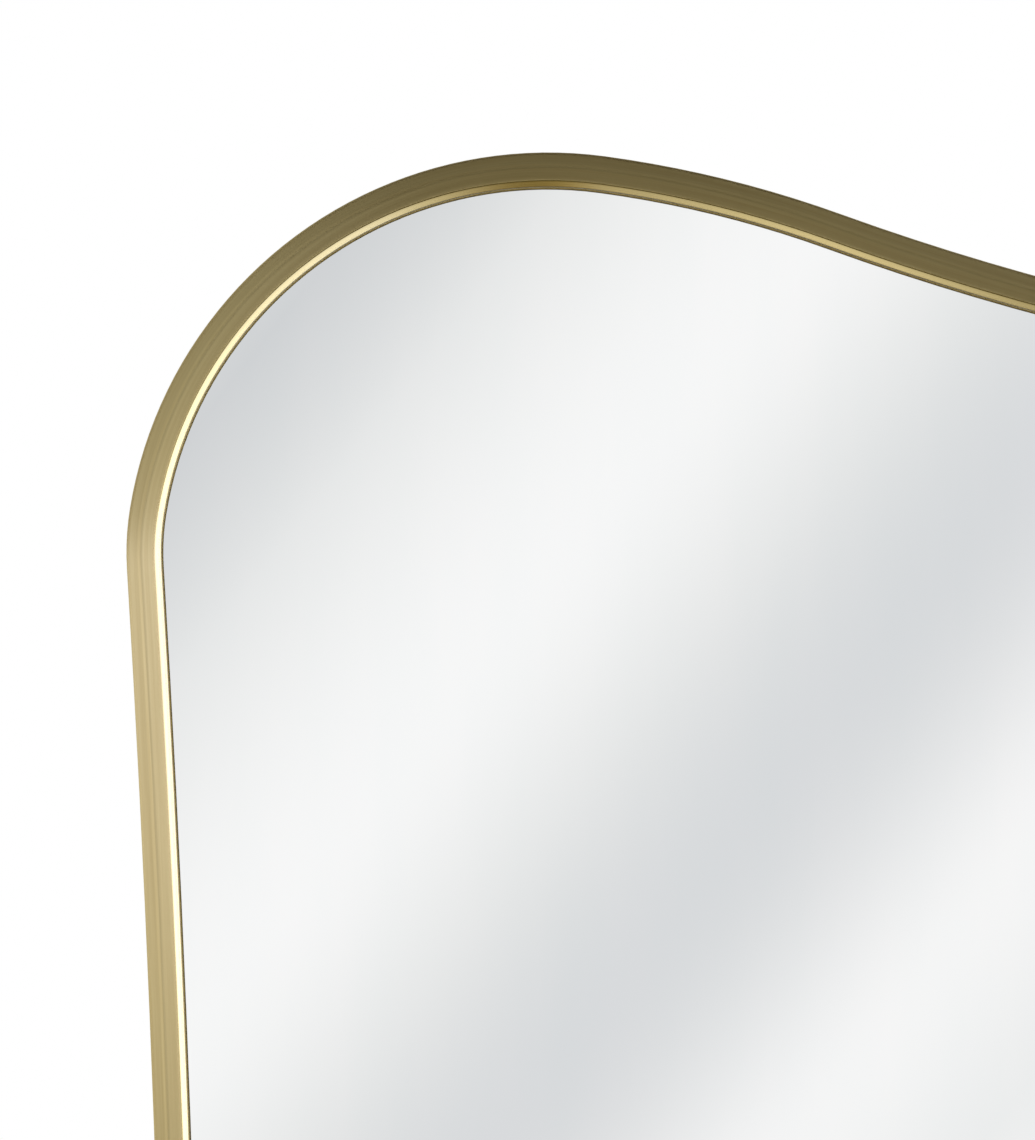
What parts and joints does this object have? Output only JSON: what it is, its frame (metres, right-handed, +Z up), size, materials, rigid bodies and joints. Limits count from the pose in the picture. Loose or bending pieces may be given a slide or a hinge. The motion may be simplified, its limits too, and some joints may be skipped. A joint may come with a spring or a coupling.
{
  "type": "irregular shaped mirror",
  "caption": "Framed wall mirror with an irregular, softly lobed outline, a slim brushed brass-coloured metal frame and swinging hanging rings on its back.",
  "frame": {"origin": "on the wall plane, at the middle of the outline's width and height", "axes": "+Z up the mirror, +Y into the wall, the glass faces -Y, +X to the right of someone looking into it"},
  "size_m": [0.5999, 0.026, 0.8999],
  "materials": {
    "brushed_brass": "brushed along its length, brass-coloured anodising",
    "silvered_glass": "polished, silvered on the back",
    "gasket_rubber": "matte",
    "board": "black-painted fibreboard",
    "foam": "white closed-cell foam",
    "zinc_steel": "zinc-plated",
    "nickel_steel": "nickel-plated",
    "bumper_rubber": "matte"
  },
  "bodies": {
    "mirror_body": {"frame": "brushed_brass", "frame_joiner": "zinc_steel", "joiner_screw_1": "zinc_steel", "joiner_screw_2": "zinc_steel", "joiner_screw_3": "zinc_steel", "joiner_screw_4": "zinc_steel", "glazing_gasket": "gasket_rubber", "mirror_glass": "silvered_glass", "foam_pad_1": "foam", "foam_pad_2": "foam", "foam_pad_3": "foam", "foam_pad_4": "foam", "foam_pad_5": "foam", "foam_pad_6": "foam", "backing_board": "board", "retaining_clip_1": "zinc_steel", "retaining_clip_2": "zinc_steel", "retaining_clip_3": "zinc_steel", "retaining_clip_4": "zinc_steel", "retaining_clip_5": "zinc_steel", "retaining_clip_6": "zinc_steel", "retaining_clip_7": "zinc_steel", "retaining_clip_8": "zinc_steel", "clip_screw_1": "zinc_steel", "clip_screw_2": "zinc_steel", "clip_screw_3": "zinc_steel", "clip_screw_4": "zinc_steel", "clip_screw_5": "zinc_steel", "clip_screw_6": "zinc_steel", "clip_screw_7": "zinc_steel", "clip_screw_8": "zinc_steel", "hanger_strap_left": "nickel_steel", "hanger_strap_right": "nickel_steel", "hanger_screw_left_1": "zinc_steel", "hanger_screw_left_2": "zinc_steel", "hanger_screw_right_1": "zinc_steel", "hanger_screw_right_2": "zinc_steel", "wall_bumper_upper_left": "bumper_rubber", "wall_bumper_upper_right": "bumper_rubber", "wall_bumper_lower_right": "bumper_rubber", "wall_bumper_lower_left": "bumper_rubber"},
    "ring_left": {"hanger_ring_left": "nickel_steel"},
    "ring_right": {"hanger_ring_right": "nickel_steel"}
  },
  "joints": [
    {"name": "ring_left_swing", "type": "hinge", "parent": "mirror_body", "child": "ring_left", "pos_m": [-0.17, -0.00485, 0.25], "axis": [1, 0, 0], "range_deg": [0, 180]},
    {"name": "ring_right_swing", "type": "hinge", "parent": "mirror_body", "child": "ring_right", "pos_m": [0.17, -0.00485, 0.25], "axis": [1, 0, 0], "range_deg": [0, 180]}
  ]
}
